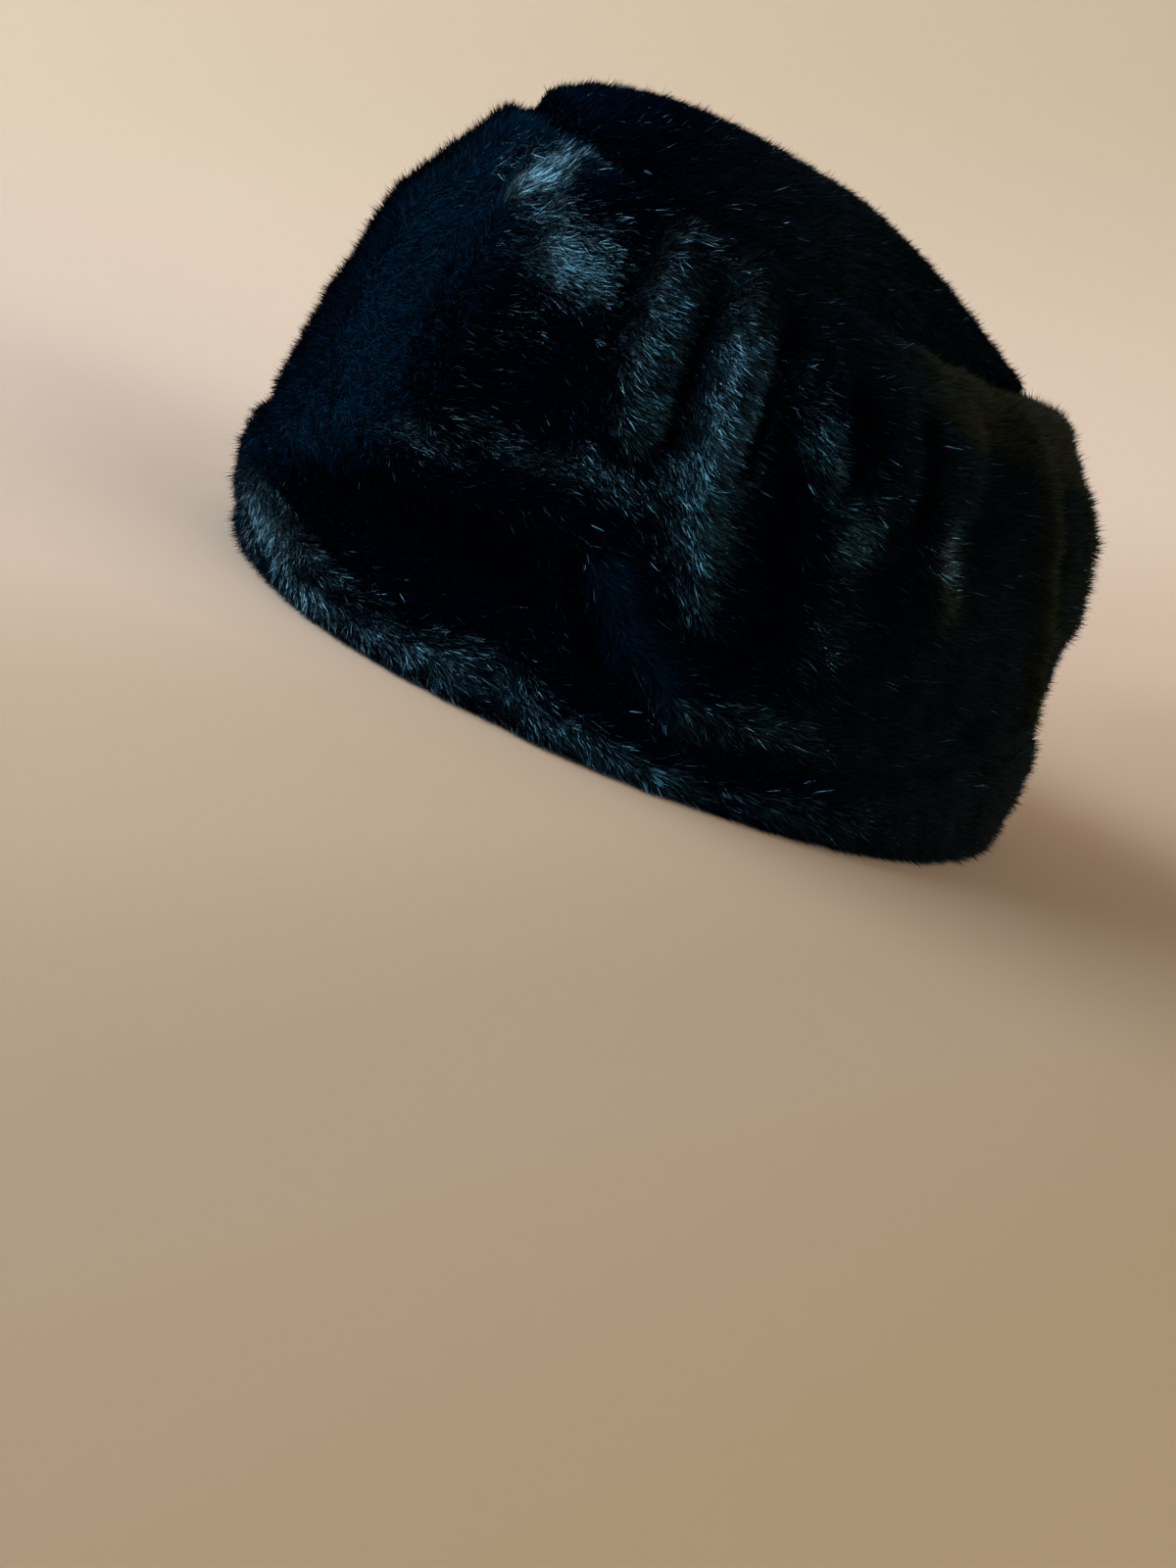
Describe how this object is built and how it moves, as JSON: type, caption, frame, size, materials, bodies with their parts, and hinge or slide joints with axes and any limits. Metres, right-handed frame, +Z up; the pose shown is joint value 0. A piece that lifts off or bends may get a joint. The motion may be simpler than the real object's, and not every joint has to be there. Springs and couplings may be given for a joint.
{
  "type": "pillbox hat",
  "caption": "Tall plush hat with a domed oval tip, a gathered side and a rolled edge, resting on its edge as it stands by itself.",
  "frame": {"origin": "middle of the oval that the rolled edge rests on, on the table", "axes": "+Z up, the wearer's front toward -Y, the wearer's left toward +X"},
  "size_m": [0.208, 0.2374, 0.1492],
  "materials": {
    "tip_plush": "black short pile, glossy where it leans to the light",
    "side_plush": "black short pile, glossy where it leans to the light",
    "roll_plush": "black short pile, glossy where it leans to the light"
  },
  "bodies": {
    "root": {"crown_tip": "tip_plush", "side_band": "side_plush", "rim_roll": "roll_plush"}
  },
  "joints": []
}
